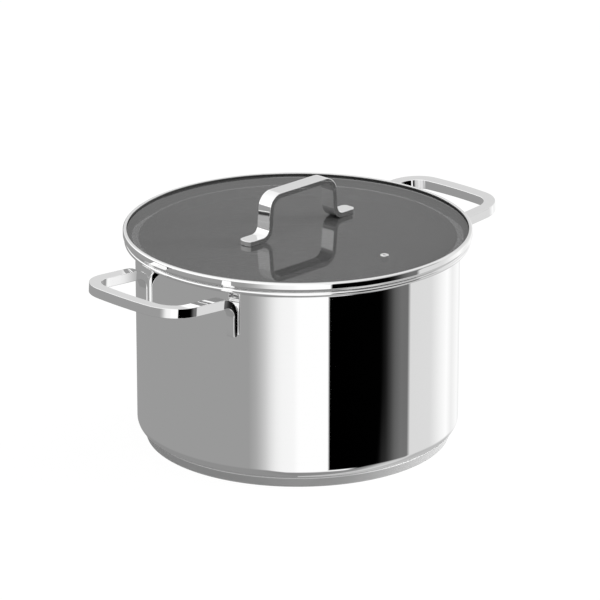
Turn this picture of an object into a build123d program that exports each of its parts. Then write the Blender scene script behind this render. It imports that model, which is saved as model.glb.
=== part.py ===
"""Stock pot: a straight-sided steel pot with two welded side handles and a lift-off glass lid.

Millimetres. +Z is up, the origin is the centre of the base underside. The two side handles
lie along X, the lid handle lies along X, and the steam vent is on the -Y side of the lid.
"""
import os
from math import cos, radians, sin, sqrt, tan

from build123d import *

# ---- driving dimensions -------------------------------------------------------------------
# pot body
WALL_RADIUS = 120.0          # outside of the straight wall
SHEET = 1.0                  # body sheet thickness
BASE_HEIGHT = 7.5            # encapsulated base under the body
CORNER_RADIUS = 8.0          # outside radius between wall and floor
FLARE_START = 148.0          # height where the wall starts to turn out into the lip
FLARE_RADIUS = 3.0           # outside radius of that turn
FLARE_ANGLE = 70.0           # how far the sheet turns
LIP_RADIUS = 128.0           # outermost edge of the rolled lip
LIP_BEAD_RADIUS = 1.7        # the lip's edge is rolled to this radius

# encapsulated base
CAP_SHEET = 0.8
CAP_RADIUS = 113.7
CAP_BOTTOM_FILLET = 1.9
CAP_TOP_FILLET = 0.35
BASE_DISH_RADIUS = 70.0      # the underside is relieved inside this radius
BASE_DISH_DEPTH = 0.3
CORE_CHAMFER = 1.4           # clears the fillet inside the cap

# side handles: a flat bar bent into a U, with arms that taper down onto the wall
HANDLE_REACH = 179.8         # from the pot's axis to the outside of the grip
HANDLE_HALF_WIDTH = 50.0
HANDLE_GRIP_BOW = 320.0      # the grip is slightly bowed
HANDLE_CORNER_OUTER = 26.5
HANDLE_CORNER_INNER = 15.0
GRIP_WIDTH = 9.3
ARM_WIDTH = 9.8
BAR_THICKNESS = 7.2
BAR_EDGE_RADIUS = 0.35
HANDLE_TOP_AT_WALL = 147.6   # height of the bar's upper face over the wall line
HANDLE_TILT = 4.2            # the handle rises outwards, in degrees
ARM_END = 126.0              # where the full bar ends and the foot starts to taper
FOOT_BOTTOM = 116.5          # lowest point of the foot, welded flat on the wall
STEM_WIDTH = 8.2
STEM_THICKNESS = 4.4
STEM_EDGE_RADIUS = 1.0
FOOT_SECTIONS = 5            # sections along the bend from the arm to the stem
FOOT_TAPER = 0.85            # how early the foot tapers; 1 is an even taper

# lid
GLASS_TOP = 160.0
GLASS_THICKNESS = 4.0
GLASS_RADIUS = 127.0
RIM_RADIUS = 129.0
RIM_INNER_RADIUS = 126.3     # inner edge of the rim over the glass
RIM_TOP = 161.9
RIM_SHEET = 0.8
RIM_TOP_ROUND = 1.4          # the rim's top rolls over to its side
RIM_INNER_ROUND = 0.3
RIM_SIDE_BOTTOM = 157.4      # the rim's side starts to curl in here
RIM_CURL_MIDDLE = 128.0      # radius of the curl where it meets the flange's height
RIM_CURL_END = 126.4         # and where it reaches the seat
RIM_SEAT = 154.7             # underside of the rim, where it sits over the lip
RIM_SKIRT_RADIUS = 118.2     # outside of the skirt that centres the lid in the pot
RIM_SKIRT_BOTTOM = 147.0
RIM_SKIRT_ROUND = 0.7        # rounding between the flange and the inside of the skirt
GASKET_TOP_LEG = 1.1         # silicone standing over the glass, under the rim's edge
GASKET_SETBACK = 0.2
GASKET_INNER_RADIUS = 122.5  # the seal's leg under the glass reaches in to here

# lid handle: one flat strap bent like a hat
STRAP_WIDTH = 12.4
STRAP_THICKNESS = 4.0
STRAP_FOOT_BEND = 8.0        # bend radii on the strap's middle line
STRAP_TOP_BEND = 10.0
STRAP_HALF_LENGTH = 56.2
STRAP_LEG_FOOT = 34.8        # middle line of a leg, at the foot
STRAP_LEG_TOP = 32.2         # and at the top: the legs lean in a little
STRAP_RISE = 34.4            # top of the strap over the glass
STRAP_FOOT_CORNER = 4.5

# lid handle fastening, one M5 screw from below at each foot
SCREW_X = 47.5
SCREW_RADIUS = 2.45
SCREW_HEAD_RADIUS = 4.6
SCREW_HEAD_HEIGHT = 2.4
SCREW_HEAD_ROUND = 1.2
SCREW_TIP = 159.2
SCREW_TIP_CHAMFER = 0.5
RECESS_LENGTH = 5.0          # cross recess in the screw head
RECESS_WIDTH = 0.9
RECESS_DEPTH = 1.3
BOSS_RADIUS = 3.6
BOSS_BORE_RADIUS = 2.5
BOSS_BOTTOM = 155.4
GROMMET_RADIUS = 4.7
GLASS_HOLE_RADIUS = 4.75
WASHER_RADIUS = 8.0
WASHER_EDGE_ROUND = 0.25
SEAL_WASHER_THICKNESS = 1.0
STEEL_WASHER_THICKNESS = 0.9
WASHER_HOLE_RADIUS = 2.7
FIT_GAP = 0.05               # small clearance between pieces that pass through one another

# steam vent
VENT_Y = -87.8
VENT_BORE_RADIUS = 1.2
VENT_TUBE_RADIUS = 2.1
VENT_FLANGE_RADIUS = 3.2
VENT_ROLL_RADIUS = 3.0       # riveted edge under the glass
VENT_FLANGE_THICKNESS = 0.7
VENT_FLANGE_ROUND = 0.45
VENT_HOLE_RADIUS = 2.6

# ---- worked out from the above ------------------------------------------------------------
GLASS_BOTTOM = GLASS_TOP - GLASS_THICKNESS
FLOOR_INSIDE = BASE_HEIGHT + SHEET
SEAL_WASHER_BOTTOM = GLASS_BOTTOM - SEAL_WASHER_THICKNESS
STEEL_WASHER_BOTTOM = SEAL_WASHER_BOTTOM - STEEL_WASHER_THICKNESS
GASKET_TOP = GLASS_TOP + GASKET_TOP_LEG
RIM_FLANGE_TOP = RIM_SEAT + RIM_SHEET
RIM_CHANNEL = RIM_RADIUS - RIM_SHEET          # inside of the rim's outer wall
RIM_CHANNEL_BOTTOM = RIM_SIDE_BOTTOM + 0.3
RIM_CHANNEL_FOOT = RIM_CURL_MIDDLE - 0.9      # inside of the curl, at the flange


# ---- pot body -----------------------------------------------------------------------------
def build_pot_shell():
    """One drawn sheet: floor, rounded corner, straight wall and a turned-out, rolled lip."""
    with BuildPart() as shell:
        with BuildSketch(Plane.XZ):
            with BuildLine():
                floor = Line((0, BASE_HEIGHT), (WALL_RADIUS - CORNER_RADIUS, BASE_HEIGHT))
                corner = JernArc(floor @ 1, floor % 1, CORNER_RADIUS, 90)
                wall = Line(corner @ 1, (WALL_RADIUS, FLARE_START))
                flare = JernArc(wall @ 1, wall % 1, FLARE_RADIUS, -FLARE_ANGLE)
                lip_across = Vector(-cos(radians(FLARE_ANGLE)), sin(radians(FLARE_ANGLE)))
                bead_x = LIP_RADIUS - LIP_BEAD_RADIUS
                middle = flare @ 1 + lip_across * (SHEET / 2)
                lip_run = (bead_x - middle.X) / (flare % 1).X
                bead = middle + (flare % 1) * lip_run
                lip_under = Line(flare @ 1, flare @ 1 + (flare % 1) * lip_run)
                edge = Line(lip_under @ 1, lip_under @ 1 + lip_across * SHEET)
                lip_top = Line(edge @ 1, edge @ 1 - (flare % 1) * lip_run)
                flare_in = JernArc(lip_top @ 1, lip_top % 1, FLARE_RADIUS + SHEET, FLARE_ANGLE)
                inner_corner = CORNER_RADIUS - SHEET
                wall_in = Line(flare_in @ 1, (WALL_RADIUS - SHEET, FLOOR_INSIDE + inner_corner))
                corner_in = JernArc(wall_in @ 1, wall_in % 1, inner_corner, -90)
                floor_in = Line(corner_in @ 1, (0, FLOOR_INSIDE))
                Line(floor_in @ 1, floor @ 0)
            make_face()
            with Locations((bead.X, bead.Y)):
                Circle(LIP_BEAD_RADIUS)
        revolve(axis=Axis.Z)
    return shell


def build_base_cap():
    """Shallow steel dish that closes the base; its underside is the face the pot stands on."""
    with BuildPart() as cap:
        Cylinder(CAP_RADIUS, BASE_HEIGHT, align=(Align.CENTER, Align.CENTER, Align.MIN))
        fillet(cap.edges().group_by(Axis.Z)[0], CAP_BOTTOM_FILLET)
        fillet(cap.edges().group_by(Axis.Z)[-1], CAP_TOP_FILLET)
        with BuildSketch(Plane.XY.offset(CAP_SHEET)):
            Circle(CAP_RADIUS - CAP_SHEET)
        extrude(amount=BASE_HEIGHT, mode=Mode.SUBTRACT)
        with BuildSketch():
            Circle(BASE_DISH_RADIUS)
        extrude(amount=BASE_DISH_DEPTH, mode=Mode.SUBTRACT)
    return cap


def build_base_core():
    """Aluminium heat-spreading disc between the floor and the cap."""
    with BuildPart() as core:
        with BuildSketch(Plane.XY.offset(CAP_SHEET)):
            Circle(CAP_RADIUS - CAP_SHEET - FIT_GAP)
        extrude(amount=BASE_HEIGHT - CAP_SHEET)
        chamfer(core.edges().group_by(Axis.Z)[0], CORE_CHAMFER)
    return core


# ---- side handles -------------------------------------------------------------------------
def handle_outline(reach, half_width, bow, corner, wall_end):
    """Face of a rounded U outline, from wall_end to reach, in the handle's own plane."""
    sag = half_width**2 / (2 * bow)
    with BuildSketch(Plane.XY) as outline:
        with BuildLine():
            grip = ThreePointArc((reach - sag, -half_width), (reach, 0), (reach - sag, half_width))
            Polyline(grip @ 1, (wall_end, half_width), (wall_end, -half_width), grip @ 0)
        make_face()
        fillet(outline.vertices().sort_by(Axis.X)[-2:], corner)
    return outline.sketch


def foot_section(turn, arm_centre_y):
    """Plane, width, thickness and edge radius of the foot after a fraction of its bend."""
    tilt = radians(HANDLE_TILT)
    start_x = ARM_END + BAR_THICKNESS / 2 * sin(tilt)
    start_z = HANDLE_TOP_AT_WALL + (ARM_END - WALL_RADIUS) * tan(tilt) - BAR_THICKNESS / 2 * cos(tilt)
    stem_x = sqrt(WALL_RADIUS**2 - arm_centre_y**2) + STEM_THICKNESS / 2
    bend = start_x - stem_x
    swing = radians(90) * turn
    x = start_x - bend * sin(swing)
    z = start_z - bend * (1 - cos(swing))
    heading_angle = tilt + (radians(90) - tilt) * turn
    heading = (-cos(heading_angle), 0, -sin(heading_angle))
    taper = turn**FOOT_TAPER
    thickness = BAR_THICKNESS + (STEM_THICKNESS - BAR_THICKNESS) * taper
    width = ARM_WIDTH + (STEM_WIDTH - ARM_WIDTH) * taper
    edge = BAR_EDGE_RADIUS + (STEM_EDGE_RADIUS - BAR_EDGE_RADIUS) * taper
    plane = Plane(origin=(x, arm_centre_y, z), x_dir=(0, 1, 0), z_dir=heading)
    return plane, width, thickness, edge


def build_side_handle():
    """Right-hand handle: a bowed grip, two flat arms and two tapered feet on the wall."""
    tilt = radians(HANDLE_TILT)
    deck = Plane(
        origin=(WALL_RADIUS, 0, HANDLE_TOP_AT_WALL),
        x_dir=(cos(tilt), 0, sin(tilt)),
        z_dir=(-sin(tilt), 0, cos(tilt)),
    )
    reach = (HANDLE_REACH - WALL_RADIUS) / cos(tilt)
    arm_end = (ARM_END - WALL_RADIUS) / cos(tilt)
    outer = handle_outline(reach, HANDLE_HALF_WIDTH, HANDLE_GRIP_BOW, HANDLE_CORNER_OUTER, arm_end)
    inner = handle_outline(
        reach - GRIP_WIDTH,
        HANDLE_HALF_WIDTH - ARM_WIDTH,
        HANDLE_GRIP_BOW - GRIP_WIDTH,
        HANDLE_CORNER_INNER,
        arm_end,
    )
    arm_centre = HANDLE_HALF_WIDTH - ARM_WIDTH / 2
    with BuildPart() as handle:
        with BuildSketch(deck):
            add(outer)
            add(inner, mode=Mode.SUBTRACT)
        extrude(amount=-BAR_THICKNESS)
        deck_faces = handle.faces().filter_by(deck)
        fillet(deck_faces.edges().filter_by(lambda e: e.center().X > ARM_END + BAR_THICKNESS), BAR_EDGE_RADIUS)
        for side in (-1, 1):
            for number in range(FOOT_SECTIONS):
                turn = number / (FOOT_SECTIONS - 1)
                plane, width, thickness, edge = foot_section(turn, side * arm_centre)
                with BuildSketch(plane):
                    RectangleRounded(width, thickness, edge)
            loft()
            with BuildSketch(plane):
                RectangleRounded(width, thickness, edge)
            extrude(amount=plane.origin.Z - FOOT_BOTTOM)
        Cylinder(WALL_RADIUS, RIM_TOP, align=(Align.CENTER, Align.CENTER, Align.MIN), mode=Mode.SUBTRACT)
    return handle


# ---- lid ----------------------------------------------------------------------------------
def build_lid_glass():
    """Flat tempered glass disc with two handle holes and one vent hole."""
    with BuildPart() as glass:
        with BuildSketch(Plane.XY.offset(GLASS_BOTTOM)):
            Circle(GLASS_RADIUS)
            with Locations((-SCREW_X, 0), (SCREW_X, 0)):
                Circle(GLASS_HOLE_RADIUS, mode=Mode.SUBTRACT)
            with Locations((0, VENT_Y)):
                Circle(VENT_HOLE_RADIUS, mode=Mode.SUBTRACT)
        extrude(amount=GLASS_THICKNESS)
    return glass


def build_lid_rim():
    """Roll-formed steel ring: holds the glass edge, covers the lip and centres the lid."""
    skirt_in = RIM_SKIRT_RADIUS - RIM_SHEET
    with BuildPart() as rim:
        with BuildSketch(Plane.XZ) as section:
            with BuildLine():
                Polyline(
                    (RIM_INNER_RADIUS, GASKET_TOP),
                    (RIM_INNER_RADIUS, RIM_TOP),
                    (RIM_RADIUS, RIM_TOP),
                    (RIM_RADIUS, RIM_SIDE_BOTTOM),
                    (RIM_CURL_MIDDLE, RIM_FLANGE_TOP),
                    (RIM_CURL_END, RIM_SEAT),
                    (RIM_SKIRT_RADIUS, RIM_SEAT),
                    (RIM_SKIRT_RADIUS, RIM_SKIRT_BOTTOM),
                    (skirt_in, RIM_SKIRT_BOTTOM),
                    (skirt_in, RIM_FLANGE_TOP),
                    (RIM_CHANNEL_FOOT, RIM_FLANGE_TOP),
                    (RIM_CHANNEL, RIM_CHANNEL_BOTTOM),
                    (RIM_CHANNEL, GASKET_TOP),
                    close=True,
                )
            make_face()
            top_inner, top_outer = section.vertices().group_by(Axis.Y)[-1].sort_by(Axis.X)
            channel_top = section.vertices().group_by(Axis.Y)[-2].sort_by(Axis.X)[-1]
            skirt_top = section.vertices().group_by(Axis.X)[0].sort_by(Axis.Y)[-1]
            fillet(top_outer, RIM_TOP_ROUND)
            fillet(channel_top, RIM_TOP_ROUND - RIM_SHEET)
            fillet(top_inner, RIM_INNER_ROUND)
            fillet(skirt_top, RIM_SKIRT_ROUND)
        revolve(axis=Axis.Z)
    return rim


def build_lid_rim_gasket():
    """Silicone channel pressed between the glass edge and the steel rim."""
    with BuildPart() as gasket:
        with BuildSketch(Plane.XZ) as section:
            with BuildLine():
                Polyline(
                    (RIM_INNER_RADIUS + GASKET_SETBACK, GLASS_TOP),
                    (RIM_INNER_RADIUS + GASKET_SETBACK, GASKET_TOP),
                    (RIM_CHANNEL, GASKET_TOP),
                    (RIM_CHANNEL, RIM_CHANNEL_BOTTOM),
                    (RIM_CHANNEL_FOOT, RIM_FLANGE_TOP),
                    (GASKET_INNER_RADIUS, RIM_FLANGE_TOP),
                    (GASKET_INNER_RADIUS, GLASS_BOTTOM),
                    (GLASS_RADIUS, GLASS_BOTTOM),
                    (GLASS_RADIUS, GLASS_TOP),
                    close=True,
                )
            make_face()
            channel_top = section.vertices().group_by(Axis.Y)[-1].sort_by(Axis.X)[-1]
            fillet(channel_top, RIM_TOP_ROUND - RIM_SHEET)
        revolve(axis=Axis.Z)
    return gasket


def build_lid_handle():
    """Steel strap bent into a hat, with two rounded feet lying on the glass."""
    foot_line = GLASS_TOP + STRAP_THICKNESS / 2
    top_line = GLASS_TOP + STRAP_RISE - STRAP_THICKNESS / 2
    with BuildPart() as strap:
        with BuildSketch(Plane.XZ):
            with BuildLine():
                FilletPolyline(
                    (-STRAP_HALF_LENGTH, foot_line),
                    (-STRAP_LEG_FOOT, foot_line),
                    (-STRAP_LEG_TOP, top_line),
                    (STRAP_LEG_TOP, top_line),
                    (STRAP_LEG_FOOT, foot_line),
                    (STRAP_HALF_LENGTH, foot_line),
                    radius=(STRAP_FOOT_BEND, STRAP_TOP_BEND, STRAP_TOP_BEND, STRAP_FOOT_BEND),
                )
            trace(line_width=STRAP_THICKNESS)
        extrude(amount=STRAP_WIDTH / 2, both=True)
        foot_corners = strap.edges().filter_by(Axis.Z).filter_by(lambda e: abs(e.center().X) > SCREW_X)
        fillet(foot_corners, STRAP_FOOT_CORNER)
    return strap


def build_lid_handle_boss(side):
    """Threaded bush welded under one foot; it passes through the glass."""
    with BuildPart() as boss:
        with BuildSketch(Plane(origin=(side * SCREW_X, 0, BOSS_BOTTOM))):
            Circle(BOSS_RADIUS)
            Circle(BOSS_BORE_RADIUS, mode=Mode.SUBTRACT)
        extrude(amount=GLASS_TOP - BOSS_BOTTOM)
    return boss


def build_lid_grommet(side):
    """Silicone sleeve that keeps the bush off the glass."""
    with BuildPart() as grommet:
        with BuildSketch(Plane(origin=(side * SCREW_X, 0, GLASS_BOTTOM))):
            Circle(GROMMET_RADIUS)
            Circle(BOSS_RADIUS + FIT_GAP, mode=Mode.SUBTRACT)
        extrude(amount=GLASS_THICKNESS)
    return grommet


def build_washer(side, bottom, thickness, hole_radius):
    """Flat washer on one screw."""
    with BuildPart() as washer:
        with BuildSketch(Plane(origin=(side * SCREW_X, 0, bottom))):
            Circle(WASHER_RADIUS)
            Circle(hole_radius, mode=Mode.SUBTRACT)
        extrude(amount=thickness)
        fillet(washer.edges().sort_by(SortBy.LENGTH)[-2:], WASHER_EDGE_ROUND)
    return washer


def build_lid_screw(side):
    """Pan-head screw with a cross recess, driven up from inside the lid."""
    head_bottom = STEEL_WASHER_BOTTOM - SCREW_HEAD_HEIGHT
    with BuildPart() as screw:
        with BuildSketch(Plane(origin=(side * SCREW_X, 0, head_bottom))):
            Circle(SCREW_HEAD_RADIUS)
        extrude(amount=SCREW_HEAD_HEIGHT)
        fillet(screw.edges().group_by(Axis.Z)[0], SCREW_HEAD_ROUND)
        with BuildSketch(Plane(origin=(side * SCREW_X, 0, STEEL_WASHER_BOTTOM))):
            Circle(SCREW_RADIUS)
        extrude(amount=SCREW_TIP - STEEL_WASHER_BOTTOM)
        chamfer(screw.edges().group_by(Axis.Z)[-1], SCREW_TIP_CHAMFER)
        with BuildSketch(Plane(origin=(side * SCREW_X, 0, head_bottom))):
            Rectangle(RECESS_LENGTH, RECESS_WIDTH)
            Rectangle(RECESS_WIDTH, RECESS_LENGTH)
        extrude(amount=RECESS_DEPTH, mode=Mode.SUBTRACT)
    return screw


def build_vent_eyelet():
    """Steel eyelet through the glass, flanged above and riveted over below."""
    flange_top = GLASS_TOP + VENT_FLANGE_THICKNESS
    with BuildPart() as eyelet:
        with BuildSketch(Plane(origin=(0, VENT_Y, GLASS_TOP))):
            Circle(VENT_FLANGE_RADIUS)
        extrude(amount=VENT_FLANGE_THICKNESS)
        fillet(eyelet.edges().group_by(Axis.Z)[-1], VENT_FLANGE_ROUND)
        with BuildSketch(Plane(origin=(0, VENT_Y, GLASS_BOTTOM))):
            Circle(VENT_TUBE_RADIUS)
        extrude(amount=GLASS_THICKNESS)
        with BuildSketch(Plane(origin=(0, VENT_Y, GLASS_BOTTOM - VENT_FLANGE_THICKNESS))):
            Circle(VENT_ROLL_RADIUS)
        extrude(amount=VENT_FLANGE_THICKNESS)
        with BuildSketch(Plane(origin=(0, VENT_Y, GLASS_BOTTOM - VENT_FLANGE_THICKNESS))):
            Circle(VENT_BORE_RADIUS)
        extrude(amount=flange_top - GLASS_BOTTOM + VENT_FLANGE_THICKNESS, mode=Mode.SUBTRACT)
    return eyelet


def build_vent_gasket():
    """Silicone sleeve between the eyelet and the glass."""
    with BuildPart() as sleeve:
        with BuildSketch(Plane(origin=(0, VENT_Y, GLASS_BOTTOM))):
            Circle(VENT_HOLE_RADIUS - FIT_GAP)
            Circle(VENT_TUBE_RADIUS + FIT_GAP, mode=Mode.SUBTRACT)
        extrude(amount=GLASS_THICKNESS)
    return sleeve


# ---- assembly -----------------------------------------------------------------------------
def write_piece(piece, name):
    """Label one finished piece and write it as its own STEP file."""
    piece.part.label = name
    export_step(piece.part, f"parts/{name}.step")


os.makedirs("parts", exist_ok=True)

write_piece(build_pot_shell(), "pot_shell")
write_piece(build_base_core(), "base_core")
write_piece(build_base_cap(), "base_cap")

side_handle_right = build_side_handle()
with BuildPart() as side_handle_left:
    add(side_handle_right.part.rotate(Axis.Z, 180))
write_piece(side_handle_right, "side_handle_right")
write_piece(side_handle_left, "side_handle_left")

write_piece(build_lid_glass(), "lid_glass")
write_piece(build_lid_rim(), "lid_rim")
write_piece(build_lid_rim_gasket(), "lid_rim_gasket")
write_piece(build_lid_handle(), "lid_handle")
write_piece(build_vent_eyelet(), "vent_eyelet")
write_piece(build_vent_gasket(), "vent_gasket")

for side, word in ((-1, "left"), (1, "right")):
    seal = build_washer(side, SEAL_WASHER_BOTTOM, SEAL_WASHER_THICKNESS, BOSS_RADIUS + FIT_GAP)
    washer = build_washer(side, STEEL_WASHER_BOTTOM, STEEL_WASHER_THICKNESS, WASHER_HOLE_RADIUS)
    write_piece(build_lid_handle_boss(side), f"lid_handle_boss_{word}")
    write_piece(build_lid_grommet(side), f"lid_grommet_{word}")
    write_piece(seal, f"lid_seal_washer_{word}")
    write_piece(washer, f"lid_steel_washer_{word}")
    write_piece(build_lid_screw(side), f"lid_screw_{word}")
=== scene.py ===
"""The look of the stock pot: fine meshes, steel, glass and silicone, and a soft studio.

Everything is in metres, in the pot's own frame: +Z up, origin at the centre of the base
underside, side handles and lid handle along X, steam vent towards -Y.
"""

from math import asin, atan2, ceil, cos, hypot, pi, radians, sin, sqrt, tan

import bmesh
import bpy
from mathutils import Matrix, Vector


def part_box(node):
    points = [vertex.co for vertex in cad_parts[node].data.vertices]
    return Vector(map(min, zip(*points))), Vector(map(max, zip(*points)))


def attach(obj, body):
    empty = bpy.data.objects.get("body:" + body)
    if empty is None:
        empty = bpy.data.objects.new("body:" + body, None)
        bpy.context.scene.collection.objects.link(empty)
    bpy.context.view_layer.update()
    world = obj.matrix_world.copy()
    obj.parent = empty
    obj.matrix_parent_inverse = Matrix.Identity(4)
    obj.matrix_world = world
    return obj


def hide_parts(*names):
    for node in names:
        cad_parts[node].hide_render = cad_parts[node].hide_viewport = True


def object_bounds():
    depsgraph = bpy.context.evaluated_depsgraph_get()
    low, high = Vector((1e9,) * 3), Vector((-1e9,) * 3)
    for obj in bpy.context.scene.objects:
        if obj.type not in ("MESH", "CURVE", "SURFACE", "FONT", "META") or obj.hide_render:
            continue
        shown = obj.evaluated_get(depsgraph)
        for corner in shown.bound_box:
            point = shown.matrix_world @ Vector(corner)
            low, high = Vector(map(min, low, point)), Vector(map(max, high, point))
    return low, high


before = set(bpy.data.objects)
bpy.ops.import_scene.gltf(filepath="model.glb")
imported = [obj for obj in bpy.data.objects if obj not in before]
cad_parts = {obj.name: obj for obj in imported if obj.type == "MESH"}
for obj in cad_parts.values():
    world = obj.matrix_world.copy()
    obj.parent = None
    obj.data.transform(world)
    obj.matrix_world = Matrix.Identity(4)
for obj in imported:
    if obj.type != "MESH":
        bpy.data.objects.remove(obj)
cad_low, cad_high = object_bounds()

MM = 0.001

# ---- sizes read from the frame ------------------------------------------------------------
cap_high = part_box("base_cap")[1]
rim_low, rim_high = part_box("lid_rim")
glass_low, glass_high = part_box("lid_glass")
strap_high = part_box("lid_handle")[1]
grip_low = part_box("side_handle_right")[0]
vent_low, vent_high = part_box("vent_eyelet")

BASE_TOP = cap_high.z
CAP_RADIUS = 113.7 * MM
LIP_RADIUS = 128.0 * MM
RIM_RADIUS = 129.0 * MM
GLASS_TOP = glass_high.z
GLASS_BOTTOM = glass_low.z
RIM_TOP = rim_high.z
STRAP_TOP = strap_high.z
VENT_CENTRE = (vent_low + vent_high) / 2

# ---- sizes of the sheet, bars and bends ---------------------------------------------------
WALL_RADIUS = 120.0 * MM
SHEET = 1.0 * MM
CORNER_RADIUS = 8.0 * MM
FLARE_START = 148.0 * MM
FLARE_RADIUS = 3.0 * MM
FLARE_ANGLE = radians(70.0)
LIP_BEAD = 1.7 * MM

CAP_SHEET = 0.8 * MM
CAP_BOTTOM_FILLET = 1.9 * MM
CAP_TOP_FILLET = 0.35 * MM
DISH_RADIUS = 70.0 * MM
DISH_DEPTH = 0.3 * MM
DISH_SLOPE = 0.5 * MM
DISH_ROUND = 0.1 * MM

RIM_INNER_RADIUS = 126.3 * MM
RIM_SHEET = 0.8 * MM
RIM_TOP_ROUND = 1.4 * MM
RIM_SIDE_BOTTOM = 157.4 * MM
RIM_CURL_MIDDLE = 128.0 * MM
RIM_CURL_END = 126.4 * MM
RIM_SEAT = 154.7 * MM
SKIRT_RADIUS = 118.2 * MM
SKIRT_BOTTOM = rim_low.z
GASKET_TOP_LEG = 1.1 * MM

HANDLE_REACH = 179.8 * MM
HANDLE_HALF_WIDTH = 50.0 * MM
HANDLE_BOW = 320.0 * MM
HANDLE_CORNER_OUTER = 26.5 * MM
HANDLE_CORNER_INNER = 15.0 * MM
GRIP_WIDTH = 9.3 * MM
ARM_WIDTH = 9.8 * MM
BAR_THICKNESS = 7.2 * MM
BAR_EDGE = 0.35 * MM
HANDLE_TOP_AT_WALL = 147.6 * MM
HANDLE_TILT = radians(4.2)
ARM_END = 126.0 * MM
FOOT_BOTTOM = grip_low.z
STEM_WIDTH = 8.2 * MM
STEM_THICKNESS = 4.4 * MM
STEM_EDGE = 1.0 * MM
TIP_ROUND = 0.7 * MM
FOOT_TAPER = 0.85

STRAP_WIDTH = 12.4 * MM
STRAP_THICKNESS = 4.0 * MM
STRAP_EDGE = 0.4 * MM
STRAP_FOOT_BEND = 8.0 * MM
STRAP_TOP_BEND = 10.0 * MM
STRAP_HALF_LENGTH = strap_high.x
STRAP_LEG_FOOT = 34.8 * MM
STRAP_LEG_TOP = 32.2 * MM
STRAP_FOOT_CORNER = 4.5 * MM

VENT_BORE = 1.2 * MM
VENT_TUBE = 2.1 * MM
VENT_FLANGE = 3.2 * MM
VENT_FLANGE_THICKNESS = 0.7 * MM

# ---- mesh density -------------------------------------------------------------------------
RING_STEPS = 384             # round the pot
SMALL_RING_STEPS = 64        # round small turned pieces
QUARTER_STEPS = 12           # round a quarter turn of an edge or bend
FOOT_STEPS = 24              # along the bend from a handle's arm to its foot
FOOT_TIP_STEPS = 6           # round the foot's lower end
STRAP_END_STEPS = 16         # round a corner of the lid handle's foot
HOLD = 0.12 * MM             # flat faces get an extra loop this far from each bend

# ---- the camera ---------------------------------------------------------------------------
CAMERA_AZIMUTH = radians(-45.67)
CAMERA_ELEVATION = radians(20.06)
CAMERA_DISTANCE = 3.1962
CAMERA_LENS = 257.84         # millimetres, on a 36 mm sensor
CAMERA_LOOKS_AT_HEIGHT = 0.080
CAMERA_RISE = 22.45 * MM     # the picture's centre lies this far above that point
CAMERA_RIGHT = 1.67 * MM


# ---- outlines -----------------------------------------------------------------------------
def rounded_path(corners, closed=False, steps=QUARTER_STEPS):
    """Points along a chain of corners (x, y, bend radius), with each bend as a true arc.

    Straight stretches keep an extra point close to each bend, so that shading stays flat on them.
    """
    points = []
    count = len(corners)
    for i, (x, y, radius) in enumerate(corners):
        here = Vector((x, y))
        at_end = not closed and i in (0, count - 1)
        if radius <= 0 or at_end:
            points.append(here)
            continue
        before = Vector(corners[i - 1][:2])
        after = Vector(corners[(i + 1) % count][:2])
        inward = (before - here).normalized()
        outward = (after - here).normalized()
        turn = pi - inward.angle(outward)
        reach = radius * tan(turn / 2)
        start = here + inward * reach
        finish = here + outward * reach
        middle = (inward + outward).normalized()
        centre = here + middle * hypot(reach, radius)
        first = start - centre
        sweep = first.angle_signed(finish - centre)
        number = max(2, ceil(steps * turn / (pi / 2)))
        if (start - before).length > 2 * HOLD:
            points.append(start + inward * HOLD)
        for step in range(number + 1):
            spin = -sweep * step / number
            points.append(centre + Vector((
                first.x * cos(spin) - first.y * sin(spin),
                first.x * sin(spin) + first.y * cos(spin),
            )))
        if (after - finish).length > 2 * HOLD:
            points.append(finish + outward * HOLD)
    tidy = [points[0]]
    for point in points[1:]:
        if (point - tidy[-1]).length > 1e-6:
            tidy.append(point)
    if closed and (tidy[0] - tidy[-1]).length < 1e-6:
        tidy.pop()
    return tidy


# ---- mesh makers --------------------------------------------------------------------------
def finish_mesh(name, build, sharp_degrees=40):
    """Turn a bmesh into a smooth-shaded object with sharp edges kept where faces meet hard."""
    bmesh.ops.recalc_face_normals(build, faces=build.faces)
    mesh = bpy.data.meshes.new(name)
    build.to_mesh(mesh)
    build.free()
    mesh.shade_smooth()
    mesh.set_sharp_from_angle(angle=radians(sharp_degrees))
    piece = bpy.data.objects.new(name, mesh)
    bpy.context.scene.collection.objects.link(piece)
    return piece


def lathe(name, outline, centre=(0, 0), steps=RING_STEPS, inside_from=None, inside_to=None):
    """Turn a closed outline of (radius, height) points about a vertical axis.

    Faces between the points inside_from and inside_to get the piece's second material.
    """
    build = bmesh.new()
    rings = []
    for radius, height in outline:
        if radius < 1e-7:
            rings.append([build.verts.new((centre[0], centre[1], height))])
            continue
        ring = []
        for step in range(steps):
            angle = 2 * pi * step / steps
            ring.append(build.verts.new((
                centre[0] + radius * cos(angle),
                centre[1] + radius * sin(angle),
                height,
            )))
        rings.append(ring)
    for i, ring in enumerate(rings):
        other = rings[(i + 1) % len(rings)]
        second = inside_from is not None and inside_from <= i < inside_to
        if len(ring) == 1 and len(other) == 1:
            continue
        for step in range(steps):
            following = (step + 1) % steps
            if len(ring) == 1:
                corners = (ring[0], other[following], other[step])
            elif len(other) == 1:
                corners = (ring[step], ring[following], other[0])
            else:
                corners = (ring[step], ring[following], other[following], other[step])
            face = build.faces.new(corners)
            face.material_index = int(second)
    return finish_mesh(name, build)


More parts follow.
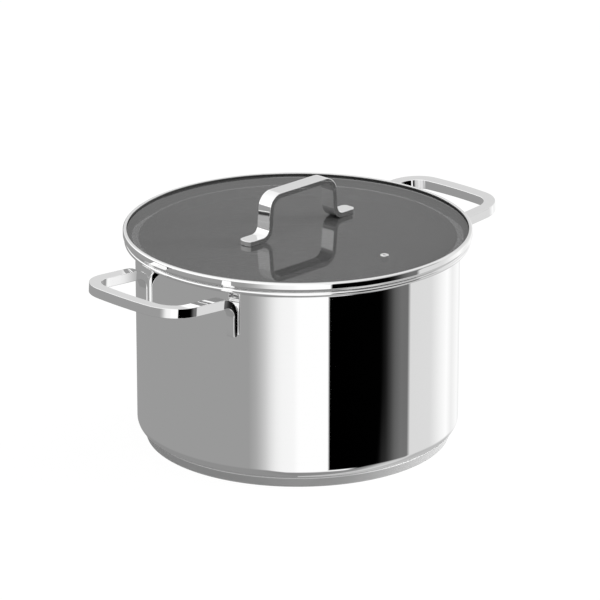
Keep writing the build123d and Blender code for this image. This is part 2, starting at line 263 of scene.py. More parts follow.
def bar_section(centre, across, up, width, thickness, edge, steps=5):
    """Points round a rounded rectangle standing at centre, spanned by across and up."""
    edge = min(edge, 0.45 * width, 0.45 * thickness)
    flat_w = width / 2 - edge
    flat_t = thickness / 2 - edge
    hold = min(HOLD, 0.2 * min(flat_w, flat_t))
    points = []
    for quarter, (sx, sy) in enumerate(((1, 1), (-1, 1), (-1, -1), (1, -1))):
        cx, cy = sx * flat_w, sy * flat_t
        start = quarter * pi / 2
        arc = [(cx + edge * cos(start + pi / 2 * i / steps), cy + edge * sin(start + pi / 2 * i / steps))
               for i in range(steps + 1)]
        back = (sin(start) * hold, -cos(start) * hold)
        ahead = (-cos(start) * hold, -sin(start) * hold)
        points.append((arc[0][0] + back[0], arc[0][1] + back[1]))
        points.extend(arc)
        points.append((arc[-1][0] + ahead[0], arc[-1][1] + ahead[1]))
    return [centre + across * x + up * y for x, y in points]


def skin(name, sections):
    """Join a row of sections with the same number of points into one closed bar."""
    build = bmesh.new()
    rows = [[build.verts.new(point) for point in section] for section in sections]
    count = len(rows[0])
    for row, other in zip(rows, rows[1:]):
        for i in range(count):
            j = (i + 1) % count
            build.faces.new((row[i], row[j], other[j], other[i]))
    build.faces.new(rows[0])
    build.faces.new(rows[-1])
    return finish_mesh(name, build)


# ---- the pot ------------------------------------------------------------------------------
def make_pot_shell():
    """One drawn sheet: floor, rounded corner, straight wall and turned-out, rolled lip."""
    steps = 2 * QUARTER_STEPS
    run = Vector((sin(FLARE_ANGLE), cos(FLARE_ANGLE)))
    normal = Vector((-run.y, run.x))
    corner_centre = Vector((WALL_RADIUS - CORNER_RADIUS, BASE_TOP + CORNER_RADIUS))
    turn_centre = Vector((WALL_RADIUS + FLARE_RADIUS, FLARE_START))
    flare_end = turn_centre + FLARE_RADIUS * Vector((-cos(FLARE_ANGLE), sin(FLARE_ANGLE)))
    middle = flare_end + normal * SHEET / 2
    bead = middle + run * (LIP_RADIUS - LIP_BEAD - middle.x) / run.x
    bead_open = pi - asin(SHEET / 2 / LIP_BEAD)

    def corner(radius, share):
        angle = pi / 2 * share
        return corner_centre + radius * Vector((sin(angle), -cos(angle)))

    def flare(radius, share):
        angle = FLARE_ANGLE * share
        return turn_centre + radius * Vector((-cos(angle), sin(angle)))

    outline = [(0.0, BASE_TOP), (corner_centre.x - HOLD, BASE_TOP)]
    outline += [corner(CORNER_RADIUS, i / steps) for i in range(steps + 1)]
    outline += [(WALL_RADIUS, corner_centre.y + HOLD), (WALL_RADIUS, FLARE_START - HOLD)]
    outline += [flare(FLARE_RADIUS, i / steps) for i in range(steps + 1)]
    outline.append(flare_end + run * HOLD)
    for i in range(2 * steps + 1):
        angle = bead_open * (i / steps - 1)
        outline.append(bead + (run * cos(angle) + normal * sin(angle)) * LIP_BEAD)
    inside_start = len(outline) - 1
    outline.append(flare_end + normal * SHEET + run * HOLD)
    outline += [flare(FLARE_RADIUS + SHEET, 1 - i / steps) for i in range(steps + 1)]
    wall_in = WALL_RADIUS - SHEET
    outline += [(wall_in, FLARE_START - HOLD), (wall_in, corner_centre.y + HOLD)]
    outline += [corner(CORNER_RADIUS - SHEET, 1 - i / steps) for i in range(steps + 1)]
    outline += [(corner_centre.x - HOLD, BASE_TOP + SHEET), (0.0, BASE_TOP + SHEET)]
    return lathe("pot_shell_steel", outline, inside_from=inside_start, inside_to=len(outline))


def make_base_cap():
    """Shallow matte dish that closes the thick base."""
    inner = CAP_RADIUS - CAP_SHEET
    outline = rounded_path([
        (0, DISH_DEPTH, 0),
        (DISH_RADIUS, DISH_DEPTH, DISH_ROUND),
        (DISH_RADIUS + DISH_SLOPE, 0, DISH_ROUND),
        (CAP_RADIUS, 0, CAP_BOTTOM_FILLET),
        (CAP_RADIUS, BASE_TOP, CAP_TOP_FILLET),
        (inner, BASE_TOP, 0),
        (inner, CAP_SHEET, 0),
        (0, CAP_SHEET, 0),
    ])
    return lathe("base_cap_steel", outline)


def outline_half(reach, half_width, bow, corner):
    """One half of a handle outline from the arm end to the middle of the grip, as (x, y) points."""
    bow_centre = reach - bow
    corner_x = bow_centre + sqrt((bow - corner) ** 2 - (half_width - corner) ** 2)
    corner_y = half_width - corner
    lean = atan2(corner_y, corner_x - bow_centre)
    points = []
    hold = HOLD / (corner_x - ARM_END)
    for share in (0, hold, 1 - hold, 1):
        points.append((ARM_END + (corner_x - ARM_END) * share, half_width))
    corner_steps = 2 * QUARTER_STEPS
    for i in range(1, corner_steps + 1):
        angle = pi / 2 + (lean - pi / 2) * i / corner_steps
        points.append((corner_x + corner * cos(angle), corner_y + corner * sin(angle)))
    bow_steps = QUARTER_STEPS
    for i in range(1, bow_steps + 1):
        angle = lean * (1 - i / bow_steps)
        points.append((bow_centre + bow * cos(angle), bow * sin(angle)))
    return points


def cut_to_wall(point):
    """The point itself, or the spot on the wall straight outside it when it lies within the wall."""
    reach = sqrt(max(WALL_RADIUS**2 - point.y**2, 0))
    return Vector((max(point.x, reach), point.y, point.z))


def make_side_handle(name, side):
    """Bent flat bar with two tapering feet; side is 1 for +X and -1 for -X."""
    outer = outline_half(HANDLE_REACH, HANDLE_HALF_WIDTH, HANDLE_BOW, HANDLE_CORNER_OUTER)
    inner = outline_half(
        HANDLE_REACH - GRIP_WIDTH, HANDLE_HALF_WIDTH - ARM_WIDTH, HANDLE_BOW - GRIP_WIDTH, HANDLE_CORNER_INNER
    )
    deck_up = Vector((-sin(HANDLE_TILT), 0, cos(HANDLE_TILT)))

    def on_deck(x, y):
        return Vector((x, y, HANDLE_TOP_AT_WALL + (x - WALL_RADIUS) * tan(HANDLE_TILT)))

    half = []
    for (ox, oy), (ix, iy) in zip(outer, inner):
        out_point, in_point = on_deck(ox, oy), on_deck(ix, iy)
        across = out_point - in_point
        centre = (out_point + in_point) / 2 - deck_up * BAR_THICKNESS / 2
        half.append((centre, across.normalized(), deck_up, across.length, BAR_THICKNESS, BAR_EDGE))
    foot = []
    arm_y = HANDLE_HALF_WIDTH - ARM_WIDTH / 2
    start = on_deck(ARM_END, arm_y) - deck_up * BAR_THICKNESS / 2
    stem_x = sqrt(WALL_RADIUS**2 - arm_y**2) + STEM_THICKNESS / 2
    bend = start.x - stem_x
    for i in range(1, FOOT_STEPS + 1):
        turn = i / FOOT_STEPS
        swing = pi / 2 * turn
        heading = HANDLE_TILT + (pi / 2 - HANDLE_TILT) * turn
        centre = Vector((start.x - bend * sin(swing), arm_y, start.z - bend * (1 - cos(swing))))
        up = Vector((-sin(heading), 0, cos(heading)))
        taper = turn**FOOT_TAPER
        width = ARM_WIDTH + (STEM_WIDTH - ARM_WIDTH) * taper
        thickness = BAR_THICKNESS + (STEM_THICKNESS - BAR_THICKNESS) * taper
        edge = BAR_EDGE + (STEM_EDGE - BAR_EDGE) * taper
        foot.append((centre, Vector((0, 1, 0)), up, width, thickness, edge))
    centre, across, up, width, thickness, edge = foot[-1]
    stem_drop = centre.z - FOOT_BOTTOM
    foot.append((centre - Vector((0, 0, 0.4 * stem_drop)), across, up, width, thickness, edge))
    for i in range(FOOT_TIP_STEPS + 1):
        lean = pi / 2 * i / FOOT_TIP_STEPS
        drop = stem_drop - TIP_ROUND * (1 - sin(lean))
        inset = TIP_ROUND * (1 - cos(lean))
        foot.append((
            centre - Vector((0, 0, drop)), across, up,
            width - 2 * inset, thickness - 2 * inset, edge - inset / 2,
        ))
    one_side = foot[::-1] + half
    sections = [bar_section(*row) for row in one_side]
    for centre, across, up, width, thickness, edge in reversed(one_side[:-1]):
        centre = Vector((centre.x, -centre.y, centre.z))
        across = Vector((across.x, -across.y, across.z))
        sections.append(bar_section(centre, across, up, width, thickness, edge))
    sections = [[cut_to_wall(point) for point in section] for section in sections]
    if side < 0:
        sections = [[Vector((-p.x, -p.y, p.z)) for p in section] for section in sections]
    return skin(name, sections)


# ---- the lid ------------------------------------------------------------------------------
def make_lid_rim():
    """Roll-formed ring over the glass edge, with a skirt that centres the lid."""
    gasket_top = GLASS_TOP + GASKET_TOP_LEG
    flange_top = RIM_SEAT + RIM_SHEET
    skirt_in = SKIRT_RADIUS - RIM_SHEET
    channel = RIM_RADIUS - RIM_SHEET
    outline = rounded_path([
        (RIM_INNER_RADIUS, gasket_top, 0),
        (RIM_INNER_RADIUS, RIM_TOP, 0.3 * MM),
        (RIM_RADIUS, RIM_TOP, RIM_TOP_ROUND),
        (RIM_RADIUS, RIM_SIDE_BOTTOM, 0.8 * MM),
        (RIM_CURL_MIDDLE, flange_top, 0.5 * MM),
        (RIM_CURL_END, RIM_SEAT, 0.6 * MM),
        (SKIRT_RADIUS, RIM_SEAT, 0.3 * MM),
        (SKIRT_RADIUS, SKIRT_BOTTOM, 0.3 * MM),
        (skirt_in, SKIRT_BOTTOM, 0.3 * MM),
        (skirt_in, flange_top, 0.7 * MM),
        (RIM_CURL_MIDDLE - 0.9 * MM, flange_top, 0),
        (channel, RIM_SIDE_BOTTOM + 0.3 * MM, 0),
        (channel, gasket_top, RIM_TOP_ROUND - RIM_SHEET),
    ], closed=True)
    return lathe("lid_rim_steel", outline)


def make_lid_handle():
    """Flat strap bent like a hat, with rounded feet."""
    foot_line = GLASS_TOP + STRAP_THICKNESS / 2
    top_line = STRAP_TOP - STRAP_THICKNESS / 2
    path = rounded_path([
        (-STRAP_HALF_LENGTH, foot_line, 0),
        (-STRAP_LEG_FOOT, foot_line, STRAP_FOOT_BEND),
        (-STRAP_LEG_TOP, top_line, STRAP_TOP_BEND),
        (STRAP_LEG_TOP, top_line, STRAP_TOP_BEND),
        (STRAP_LEG_FOOT, foot_line, STRAP_FOOT_BEND),
        (STRAP_HALF_LENGTH, foot_line, 0),
    ], steps=2 * QUARTER_STEPS)
    tip = [
        STRAP_FOOT_CORNER * (1 - cos(pi / 2 * i / STRAP_END_STEPS)) for i in range(STRAP_END_STEPS + 1)
    ]
    rows = []
    for x in tip:
        rows.append((Vector((-STRAP_HALF_LENGTH + x, foot_line)), x))
    rows.append((Vector((-STRAP_HALF_LENGTH + STRAP_FOOT_CORNER + HOLD, foot_line)), STRAP_FOOT_CORNER))
    for point in path[1:-1]:
        rows.append((point, STRAP_FOOT_CORNER))
    rows.append((Vector((STRAP_HALF_LENGTH - STRAP_FOOT_CORNER - HOLD, foot_line)), STRAP_FOOT_CORNER))
    for x in reversed(tip):
        rows.append((Vector((STRAP_HALF_LENGTH - x, foot_line)), x))
    sections = []
    for i, (point, from_end) in enumerate(rows):
        before = rows[max(i - 1, 0)][0]
        after = rows[min(i + 1, len(rows) - 1)][0]
        ahead = (after - before).normalized()
        up = Vector((-ahead.y, 0, ahead.x))
        corner = STRAP_FOOT_CORNER - from_end
        width = STRAP_WIDTH - 2 * (STRAP_FOOT_CORNER - sqrt(max(STRAP_FOOT_CORNER**2 - corner**2, 0)))
        near_tip = max(STRAP_EDGE - from_end, 0)
        inset = STRAP_EDGE - sqrt(max(STRAP_EDGE**2 - near_tip**2, 0))
        centre = Vector((point.x, 0, point.y))
        sections.append(bar_section(
            centre, Vector((0, 1, 0)), up, width - 2 * inset, STRAP_THICKNESS - 2 * inset, STRAP_EDGE
        ))
    return skin("lid_handle_strap", sections)


def make_vent_eyelet():
    """Turned eyelet with a rounded flange above the glass and a rivet roll below."""
    low = GLASS_BOTTOM - VENT_FLANGE_THICKNESS
    high = GLASS_TOP + VENT_FLANGE_THICKNESS
    outline = rounded_path([
        (VENT_BORE, high, 0.4 * MM),
        (VENT_FLANGE, high, 0.45 * MM),
        (VENT_FLANGE, GLASS_TOP, 0),
        (VENT_TUBE, GLASS_TOP, 0),
        (VENT_TUBE, GLASS_BOTTOM, 0),
        (VENT_FLANGE - 0.2 * MM, GLASS_BOTTOM, 0),
        (VENT_FLANGE - 0.2 * MM, low, 0.4 * MM),
        (VENT_BORE, low, 0.3 * MM),
    ], closed=True, steps=8)
    return lathe("vent_eyelet_steel", outline, centre=VENT_CENTRE.xy, steps=SMALL_RING_STEPS)


# ---- materials ----------------------------------------------------------------------------
class Nodes:
    """A short way to write a node tree: add nodes with their settings, and join them."""

    def __init__(self, tree):
        self.tree = tree
        tree.nodes.clear()

    def add(self, kind, inputs=None, **settings):
        node = self.tree.nodes.new(kind)
        for name, value in settings.items():
            setattr(node, name, value)
        for name, value in (inputs or {}).items():
            socket = node.inputs[name]
            if isinstance(value, bpy.types.NodeSocket):
                self.tree.links.new(value, socket)
            else:
                socket.default_value = value
        return node

    def math(self, operation, *values):
        node = self.add("ShaderNodeMath", operation=operation)
        for i, value in enumerate(values):
            if isinstance(value, bpy.types.NodeSocket):
                self.tree.links.new(value, node.inputs[i])
            else:
                node.inputs[i].default_value = value
        return node.outputs[0]

    def blend(self, share, low, high):
        """Number between low and high by share."""
        node = self.add("ShaderNodeMix", {"Factor": share}, data_type="FLOAT")
        for socket, value in ((node.inputs[2], low), (node.inputs[3], high)):
            if isinstance(value, bpy.types.NodeSocket):
                self.tree.links.new(value, socket)
            else:
                socket.default_value = value
        return node.outputs[0]

    def smooth(self, value, low, high, to_low=0.0, to_high=1.0):
        """Smooth step of value from low to high."""
        node = self.add(
            "ShaderNodeMapRange",
            {"Value": value, "From Min": low, "From Max": high, "To Min": to_low, "To Max": to_high},
            interpolation_type="SMOOTHSTEP",
        )
        return node.outputs[0]

    def grey(self, value):
        node = self.add("ShaderNodeCombineColor")
        for i in range(3):
            self.tree.links.new(value, node.inputs[i])
        return node.outputs[0]


def linear(display):
    """Linear light of a display grey from 0 to 255."""
    share = display / 255
    return share / 12.92 if share <= 0.04045 else ((share + 0.055) / 1.055) ** 2.4


def new_material(name):
    """An empty node material, and the writer for its nodes."""
    material = bpy.data.materials.new(name)
    material.use_nodes = True
    return material, Nodes(material.node_tree)


def position(nodes):
    """Place of the shaded point in the object's own frame, in metres."""
    return nodes.add("ShaderNodeTexCoord").outputs["Object"]


def polar(nodes, place):
    """Distance of a place from the pot's axis, and its height."""
    x, y, z = nodes.add("ShaderNodeSeparateXYZ", {"Vector": place}).outputs
    radius = nodes.math("SQRT", nodes.math("ADD", nodes.math("MULTIPLY", x, x), nodes.math("MULTIPLY", y, y)))
    return radius, z


def close_material(nodes, shader):
    """Lead the finished shader to the material's surface."""
    output = nodes.add("ShaderNodeOutputMaterial")
    nodes.tree.links.new(shader, output.inputs["Surface"])


def mirror_steel():
    """Mirror-polished stainless steel with faint buffing lines that run round the pot."""
    material, nodes = new_material("mirror_steel")
    place = position(nodes)
    stretch = nodes.add("ShaderNodeMapping", {"Vector": place, "Scale": (6, 6, 900)})
    lines = nodes.add("ShaderNodeTexNoise", {"Vector": stretch.outputs[0], "Scale": 3.0, "Detail": 4.0})
    cloud = nodes.add("ShaderNodeTexNoise", {"Vector": place, "Scale": 35.0, "Detail": 2.0})
    roughness = nodes.math(
        "ADD",
        nodes.blend(lines.outputs["Fac"], 0.012, 0.035),
        nodes.blend(cloud.outputs["Fac"], -0.004, 0.006),
    )
    tone = nodes.blend(lines.outputs["Fac"], 0.955, 0.975)
    steel = nodes.add("ShaderNodeBsdfPrincipled", {
        "Base Color": nodes.grey(tone), "Metallic": 1.0, "Roughness": roughness,
    })
    close_material(nodes, steel.outputs[0])
    return material


def turned_lines(nodes, radius, height, across, upright):
    """Noise that changes with radius on flat faces and with height on upright ones."""
    place = nodes.math(
        "ADD", nodes.math("MULTIPLY", radius, across), nodes.math("MULTIPLY", height, upright)
    )
    return nodes.add(
        "ShaderNodeTexNoise", {"W": place, "Scale": 1.0, "Detail": 3.0}, noise_dimensions="1D"
    )


def satin_inside():
    """Satin inside of the pot: fine rings on the floor and fine lines round the wall."""
    material, nodes = new_material("satin_inside_steel")
    place = position(nodes)
    radius, height = polar(nodes, place)
    rings = turned_lines(nodes, radius, height, 2600.0, 2100.0)
    wear = nodes.add("ShaderNodeTexNoise", {"Vector": place, "Scale": 28.0, "Detail": 5.0})
    roughness = nodes.math(
        "ADD", nodes.blend(rings.outputs["Fac"], 0.20, 0.34), nodes.blend(wear.outputs["Fac"], -0.03, 0.04)
    )
    bump = nodes.add(
        "ShaderNodeBump", {"Height": rings.outputs["Fac"], "Distance": 0.00002, "Strength": 0.35}
    )
    steel = nodes.add("ShaderNodeBsdfPrincipled", {
        "Base Color": nodes.grey(nodes.blend(rings.outputs["Fac"], 0.60, 0.70)),
        "Metallic": 1.0, "Roughness": roughness, "Normal": bump.outputs[0],
    })
    close_material(nodes, steel.outputs[0])
    return material


def ground_base():
    """Matte ground steel of the base: lines round its side, rings on its underside, and a painted highlight
    along its top edge.
    """
    material, nodes = new_material("ground_base_steel")
    place = position(nodes)
    radius, height = polar(nodes, place)
    rings = turned_lines(nodes, radius, height, 1900.0, 5200.0)
    grain = nodes.add("ShaderNodeTexNoise", {"Vector": place, "Scale": 900.0, "Detail": 2.0})
    mark = nodes.math(
        "ADD", nodes.blend(rings.outputs["Fac"], 0.0, 0.7), nodes.blend(grain.outputs["Fac"], 0.0, 0.3)
    )
    # Painted highlight: the last millimetre below the base's top is painted lighter, standing in for the
    # light line its top edge catches.
    painted_edge_highlight = nodes.smooth(height, BASE_TOP - 1.0 * MM, BASE_TOP - 0.4 * MM)
    bump = nodes.add("ShaderNodeBump", {"Height": mark, "Distance": 0.00003, "Strength": 0.2})
    tone = nodes.math("ADD", nodes.blend(mark, 0.35, 0.41), nodes.math("MULTIPLY", painted_edge_highlight, 0.5))
    matte = nodes.add("ShaderNodeBsdfPrincipled", {
        "Base Color": nodes.grey(tone),
        "Roughness": 0.6, "Specular IOR Level": 0.3, "Normal": bump.outputs[0],
    })
    metal = nodes.add("ShaderNodeBsdfPrincipled", {
        "Base Color": nodes.grey(nodes.blend(mark, 0.42, 0.52)), "Metallic": 1.0,
        "Roughness": nodes.blend(mark, 0.38, 0.5), "Normal": bump.outputs[0],
    })
    mixed = nodes.add("ShaderNodeMixShader", {0: 0.25, 1: matte.outputs[0], 2: metal.outputs[0]})
    close_material(nodes, mixed.outputs[0])
    return material


def satin_steel():
    """Satin steel of screws, washers and bushes."""
    material, nodes = new_material("satin_steel")
    place = position(nodes)
    grain = nodes.add("ShaderNodeTexNoise", {"Vector": place, "Scale": 1400.0, "Detail": 3.0})
    steel = nodes.add("ShaderNodeBsdfPrincipled", {
        "Base Color": nodes.grey(nodes.blend(grain.outputs["Fac"], 0.55, 0.68)), "Metallic": 1.0,
        "Roughness": nodes.blend(grain.outputs["Fac"], 0.24, 0.38),
    })
    close_material(nodes, steel.outputs[0])
    return material


def bare_aluminium():
    """Aluminium of the heat-spreading disc."""
    material, nodes = new_material("bare_aluminium")
    place = position(nodes)
    grain = nodes.add("ShaderNodeTexNoise", {"Vector": place, "Scale": 600.0, "Detail": 3.0})
    metal = nodes.add("ShaderNodeBsdfPrincipled", {
        "Base Color": nodes.grey(nodes.blend(grain.outputs["Fac"], 0.62, 0.76)), "Metallic": 1.0,
        "Roughness": nodes.blend(grain.outputs["Fac"], 0.35, 0.5),
    })
    close_material(nodes, metal.outputs[0])
    return material


def dark_silicone():
    """Matte dark silicone with a fine moulded grain."""
    material, nodes = new_material("dark_silicone")
    place = position(nodes)
    grain = nodes.add("ShaderNodeTexNoise", {"Vector": place, "Scale": 1500.0, "Detail": 3.0})
    bump = nodes.add(
        "ShaderNodeBump", {"Height": grain.outputs["Fac"], "Distance": 0.00003, "Strength": 0.3}
    )
    rubber = nodes.add("ShaderNodeBsdfPrincipled", {
        "Base Color": nodes.grey(nodes.blend(grain.outputs["Fac"], 0.018, 0.035)),
        "Roughness": nodes.blend(grain.outputs["Fac"], 0.5, 0.7), "Normal": bump.outputs[0],
    })
    close_material(nodes, rubber.outputs[0])
    return material


def smoked_glass():
    """Dark smoked glass: a polished face over a deep even tint that lets a little through.

    The tint acts where light enters from outside; it leaves the glass again untinted.
    """
    material, nodes = new_material("smoked_glass")
    place = position(nodes)
    haze = nodes.add("ShaderNodeTexNoise", {"Vector": place, "Scale": 14.0, "Detail": 3.0})
    tint = nodes.add("ShaderNodeBsdfPrincipled", {
        "Base Color": nodes.grey(nodes.blend(haze.outputs["Fac"], 0.086, 0.094)),
        "Roughness": nodes.blend(haze.outputs["Fac"], 0.004, 0.016), "IOR": 1.52,
    })
    smoke = nodes.add("ShaderNodeBsdfTransparent", {"Color": (0.60, 0.60, 0.61, 1)})
    seen = nodes.add("ShaderNodeMixShader", {0: 0.16, 1: tint.outputs[0], 2: smoke.outputs[0]})
    clear = nodes.add("ShaderNodeBsdfTransparent", {"Color": (0.95, 0.95, 0.95, 1)})
    face = nodes.add("ShaderNodeNewGeometry").outputs
    facing = nodes.add("ShaderNodeSeparateXYZ", {"Vector": face["Normal"]})
    under = nodes.math("LESS_THAN", facing.outputs["Z"], -0.5)
    glossy = nodes.add("ShaderNodeLightPath").outputs["Is Glossy Ray"]
    leaves = nodes.math("MAXIMUM", face["Backfacing"], nodes.math("MULTIPLY", under, glossy))
    mixed = nodes.add("ShaderNodeMixShader", {0: leaves, 1: seen.outputs[0], 2: clear.outputs[0]})
    close_material(nodes, mixed.outputs[0])
    return material


def pale_floor():
    """White that mostly glows by itself, with a trace of cloud in the rest."""
    material, nodes = new_material("pale_floor")
    place = position(nodes)
    cloud = nodes.add("ShaderNodeTexNoise", {"Vector": place, "Scale": 1.3, "Detail": 2.0})
    tone = nodes.grey(nodes.blend(cloud.outputs["Fac"], 0.88, 0.92))
    shaded = nodes.add("ShaderNodeBsdfDiffuse", {"Color": tone})
    lit = nodes.add("ShaderNodeEmission", {"Color": (1, 1, 1, 1), "Strength": FLOOR_GLOW})
    mixed = nodes.add("ShaderNodeMixShader", {0: FLOOR_GLOW_SHARE, 1: shaded.outputs[0], 2: lit.outputs[0]})
    close_material(nodes, mixed.outputs[0])
    return material


# ---- the studio ---------------------------------------------------------------------------
# Light that polished steel mirrors, by direction round the pot. Angles are in degrees from the
# camera's side, positive to its right. Values are display greys; more than 255 is over-bright.
LOW_BANDS = [
    (-180.0, 153), (-35.0, 153), (-29.7, 168), (-26.2, 184), (-22.7, 202), (-19.0, 223), (-15.4, 237),
    (-11.7, 244), (-3.0, 247), (0.5, 255), (21.8, 255), (22.4, 0), (61.2, 1), (65.5, 25), (69.0, 60),
    (73.0, 92), (78.5, 110), (85.6, 110), (86.0, 217), (109.0, 219), (122.5, 242), (132.5, 254),
    (142.5, 237), (152.0, 246), (158.5, 251), (167.0, 238), (180.0, 234),
]
HIGH_BANDS = [
    (-180.0, 214), (-165.0, 222), (-130.0, 265), (-105.0, 284), (-60.0, 275), (10.0, 255), (16.0, 250),
    (26.0, 144), (102.0, 144), (107.0, 225), (150.0, 225), (165.0, 220), (180.0, 214),
]
SKY_BANDS = [
    (-180.0, 240), (-120.0, 255), (30.0, 255), (60.0, 225), (85.0, 205), (120.0, 225), (180.0, 240),
]
GROUND_BANDS = [             # what steel mirrors looking steeply down
    (-180.0, 141), (-30.0, 141), (-10.0, 134), (55.0, 140), (66.0, 185),
    (78.0, 206), (90.0, 206), (98.0, 178), (125.0, 188), (180.0, 190),
]
GROUND_START_BANDS = [       # how far down, in degrees, the ground begins
    (-180.0, 21.2), (-22.0, 21.2), (-9.0, 34.0), (40.0, 34.0), (52.0, 23.0), (62.0, 20.6), (180.0, 20.8),
]
DAY_BANDS = [                # the light that falls on matte faces
    (-180.0, 90), (-150.0, 110), (-105.0, 160), (-60.0, 110), (-20.0, 90), (30.0, 100), (60.0, 210),
    (90.0, 330), (120.0, 330), (150.0, 210), (180.0, 90),
]
STEEL_TONE = 0.965           # share of the light that the steel gives back
HIGH_FROM, HIGH_TO = 3.0, 9.0            # elevations where the low bands give way to the high ones
SKY_FROM, SKY_TO = 25.0, 31.0            # and where those give way to the even sky
GROUND_BLEND = 0.18                      # sine of elevation over which the ground takes over
CARD_FROM, CARD_TO = -25.0, -30.0        # the dark card gives way to white below here,
CARD_GAP_LEFT = (17.0, 21.5)             # between these soft edges round the pot
CARD_GAP_RIGHT = (46.0, 36.0)
SIDE_LIGHT_ANGLE = 97.0                  # degrees to the right of the camera
SIDE_LIGHT_DISTANCE = 2.4
SIDE_LIGHT_HEIGHT = 0.35
SIDE_LIGHT_POWER = 90.0
SIDE_LIGHT_SIZE = 0.7
OVERHEAD_PLACE = (-0.6, -0.5, 2.2)
OVERHEAD_POWER = 4.0
OVERHEAD_SIZE = 2.4
FLOOR_RADIUS = 12.0
FLOOR_GAP = 0.02 * MM                    # keeps the floor from touching the base
FLOOR_GLOW = 1.05
FLOOR_GLOW_SHARE = 0.93


def steel_light(display):
    """Light that makes steel show this display grey."""
    return linear(display) / STEEL_TONE


def drop_below(angle):
    """How far a ray that dips by this many degrees falls over its length."""
    return sin(radians(angle))


def round_share(angle):
    """Share of the way round the pot, from 0 at -180 degrees to 1 at 180."""
    return (angle + 180) / 360


def band_ramp(nodes, share, bands, to_value=steel_light):
    """Ramp round the pot from a list of (degrees, number), each number put through to_value.

    The stops are all put at the start and then moved out from the last one, so none overtakes another.
    """
    node = nodes.add("ShaderNodeValToRGB", {"Fac": share})
    ramp = node.color_ramp
    ramp.interpolation = "LINEAR"
    while len(ramp.elements) < len(bands):
        ramp.elements.new(0.5)
    for element in ramp.elements:
        element.position = 0.0
    for element, (angle, number) in reversed(list(zip(ramp.elements, bands))):
        element.position = round_share(angle)
        value = to_value(number)
        element.color = (value, value, value, 1)
    return node.outputs["Color"]


def make_world():
    """Even white light for matte faces and the backdrop; banded studio light for mirrors."""
    world = bpy.data.worlds.new("studio")
    bpy.context.scene.world = world
    world.use_nodes = True
    nodes = Nodes(world.node_tree)
    ray = nodes.add("ShaderNodeTexCoord").outputs["Generated"]
    toward = (sin(CAMERA_AZIMUTH), -cos(CAMERA_AZIMUTH), 0)
    right = (cos(CAMERA_AZIMUTH), sin(CAMERA_AZIMUTH), 0)
    to_camera = nodes.add("ShaderNodeVectorMath", {0: ray, 1: toward}, operation="DOT_PRODUCT")
    to_right = nodes.add("ShaderNodeVectorMath", {0: ray, 1: right}, operation="DOT_PRODUCT")
    angle = nodes.math("ARCTAN2", to_right.outputs["Value"], to_camera.outputs["Value"])
    share = nodes.math("ADD", nodes.math("DIVIDE", angle, 2 * pi), 0.5)
    rise = nodes.add("ShaderNodeSeparateXYZ", {"Vector": ray}).outputs["Z"]

    low = band_ramp(nodes, share, LOW_BANDS)
    high = band_ramp(nodes, share, HIGH_BANDS)
    day = band_ramp(nodes, share, DAY_BANDS)
    sky = band_ramp(nodes, share, SKY_BANDS)
    ground = band_ramp(nodes, share, GROUND_BANDS)
    ground_start = band_ramp(nodes, share, GROUND_START_BANDS, drop_below)
    in_card = nodes.math(
        "MULTIPLY",
        nodes.smooth(share, round_share(CARD_GAP_LEFT[0]), round_share(CARD_GAP_LEFT[1])),
        nodes.smooth(share, round_share(CARD_GAP_RIGHT[0]), round_share(CARD_GAP_RIGHT[1])),
    )
    under_card = nodes.smooth(rise, sin(radians(CARD_FROM)), sin(radians(CARD_TO)))
    gap = nodes.math("MULTIPLY", in_card, under_card)
    white = (1, 1, 1, 1)

    def mix(share_value, first, second):
        node = nodes.add("ShaderNodeMix", {"Factor": share_value}, data_type="RGBA")
        for socket, value in ((node.inputs[6], first), (node.inputs[7], second)):
            if isinstance(value, bpy.types.NodeSocket):
                nodes.tree.links.new(value, socket)
            else:
                socket.default_value = value
        return node.outputs[2]

    def above(first, last):
        return nodes.smooth(rise, sin(radians(first)), sin(radians(last)))

    drop = nodes.math("SUBTRACT", nodes.math("MULTIPLY", rise, -1.0), ground_start)
    mirrored = mix(gap, low, white)
    mirrored = mix(nodes.smooth(drop, 0.0, GROUND_BLEND), mirrored, ground)
    mirrored = mix(above(HIGH_FROM, HIGH_TO), mirrored, high)
    mirrored = mix(above(SKY_FROM, SKY_TO), mirrored, sky)
    path = nodes.add("ShaderNodeLightPath")
    matte = mix(path.outputs["Is Camera Ray"], day, white)
    colour = mix(path.outputs["Is Glossy Ray"], matte, mirrored)
    background = nodes.add("ShaderNodeBackground", {"Color": colour, "Strength": 1.0})
    output = nodes.add("ShaderNodeOutputWorld")
    nodes.tree.links.new(background.outputs[0], output.inputs["Surface"])


def make_floor():
    """Large pale disc under the pot. Steel mirrors the studio bands instead of it."""
    build = bmesh.new()
    bmesh.ops.create_circle(build, cap_ends=True, radius=FLOOR_RADIUS, segments=96)
    floor = finish_mesh("floor", build)
    floor.location.z = cad_low.z - FLOOR_GAP
    floor.data.materials.append(pale_floor())
    floor.visible_glossy = False


def side_light_place():
    """Low on the camera's right, level with the pot."""
    angle = CAMERA_AZIMUTH + radians(SIDE_LIGHT_ANGLE)
    return Vector((sin(angle), -cos(angle), 0)) * SIDE_LIGHT_DISTANCE + Vector((0, 0, SIDE_LIGHT_HEIGHT))


def make_light(name, energy, size, place_at):
    """A wide soft light that falls on matte faces; polished ones don't mirror it."""
    data = bpy.data.lights.new(name, "AREA")
    data.shape = "DISK"
    data.size = size
    data.energy = energy
    lamp = bpy.data.objects.new(name, data)
    lamp.location = place_at
    lamp.rotation_euler = (Vector((0, 0, 0.1)) - lamp.location).to_track_quat("-Z", "Y").to_euler()
    lamp.visible_glossy = False
    lamp.visible_camera = False
    bpy.context.scene.collection.objects.link(lamp)


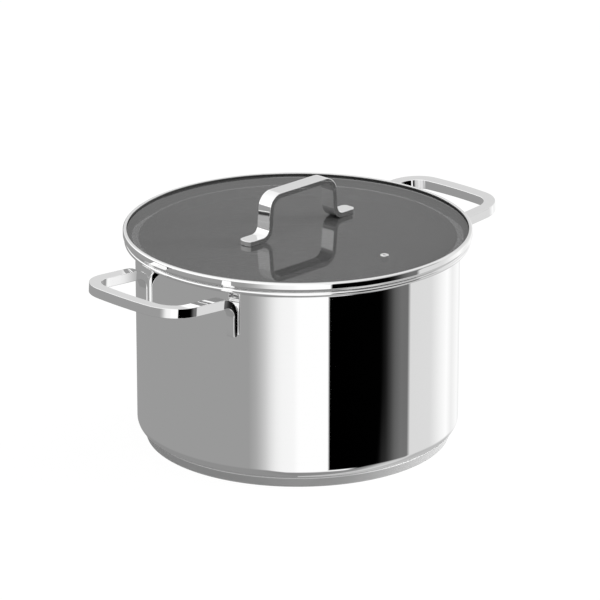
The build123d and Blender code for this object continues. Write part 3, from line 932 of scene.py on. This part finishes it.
def make_camera():
    """A long lens that looks down on the pot from between its left handle and its vent."""
    out = Vector((sin(CAMERA_AZIMUTH), -cos(CAMERA_AZIMUTH), 0))
    right = Vector((cos(CAMERA_AZIMUTH), sin(CAMERA_AZIMUTH), 0))
    back = out * cos(CAMERA_ELEVATION) + Vector((0, 0, 1)) * sin(CAMERA_ELEVATION)
    up = back.cross(right)
    middle = Vector((0, 0, CAMERA_LOOKS_AT_HEIGHT))
    data = bpy.data.cameras.new("camera")
    data.lens = CAMERA_LENS
    data.sensor_width = 36
    data.clip_start = 0.05
    data.clip_end = 100
    camera = bpy.data.objects.new("camera", data)
    camera.location = middle + back * CAMERA_DISTANCE
    aim = middle + up * CAMERA_RISE + right * CAMERA_RIGHT
    camera.rotation_euler = (aim - camera.location).to_track_quat("-Z", "Y").to_euler()
    bpy.context.scene.collection.objects.link(camera)
    bpy.context.scene.camera = camera


# ---- put it together ----------------------------------------------------------------------
steel = mirror_steel()
inside = satin_inside()
base_steel = ground_base()
fastener = satin_steel()
aluminium = bare_aluminium()
silicone = dark_silicone()
glass = smoked_glass()


def place(piece, body, node, slot, *materials):
    """Give a new piece its materials and its body, and hide the CAD node it stands for; slot, the name of its
    finish, is not used.
    """
    for material in materials:
        piece.data.materials.append(material)
    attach(piece, body)
    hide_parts(node)


place(make_pot_shell(), "pot", "pot_shell", "polished_steel", steel, inside)
place(make_base_cap(), "pot", "base_cap", "brushed_steel", base_steel)
place(make_side_handle("side_handle_left_bar", -1), "pot", "side_handle_left", "polished_steel", steel)
place(make_side_handle("side_handle_right_bar", 1), "pot", "side_handle_right", "polished_steel", steel)
place(make_lid_rim(), "lid", "lid_rim", "polished_steel", steel)
place(make_lid_handle(), "lid", "lid_handle", "polished_steel", steel)
place(make_vent_eyelet(), "lid", "vent_eyelet", "polished_steel", steel)

CAD_MATERIALS = {
    "lid_glass": glass,
    "base_core": aluminium,
    "lid_rim_gasket": silicone,
    "vent_gasket": silicone,
}
for end in ("left", "right"):
    CAD_MATERIALS[f"lid_handle_boss_{end}"] = fastener
    CAD_MATERIALS[f"lid_steel_washer_{end}"] = fastener
    CAD_MATERIALS[f"lid_screw_{end}"] = fastener
    CAD_MATERIALS[f"lid_grommet_{end}"] = silicone
    CAD_MATERIALS[f"lid_seal_washer_{end}"] = silicone
for node_name, material in CAD_MATERIALS.items():
    for slot_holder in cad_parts[node_name].material_slots:
        slot_holder.material = material

make_world()
make_floor()
make_light("soft_overhead", OVERHEAD_POWER, OVERHEAD_SIZE, OVERHEAD_PLACE)
make_light("soft_side", SIDE_LIGHT_POWER, SIDE_LIGHT_SIZE, side_light_place())
make_camera()
bpy.context.scene.view_settings.view_transform = "Standard"
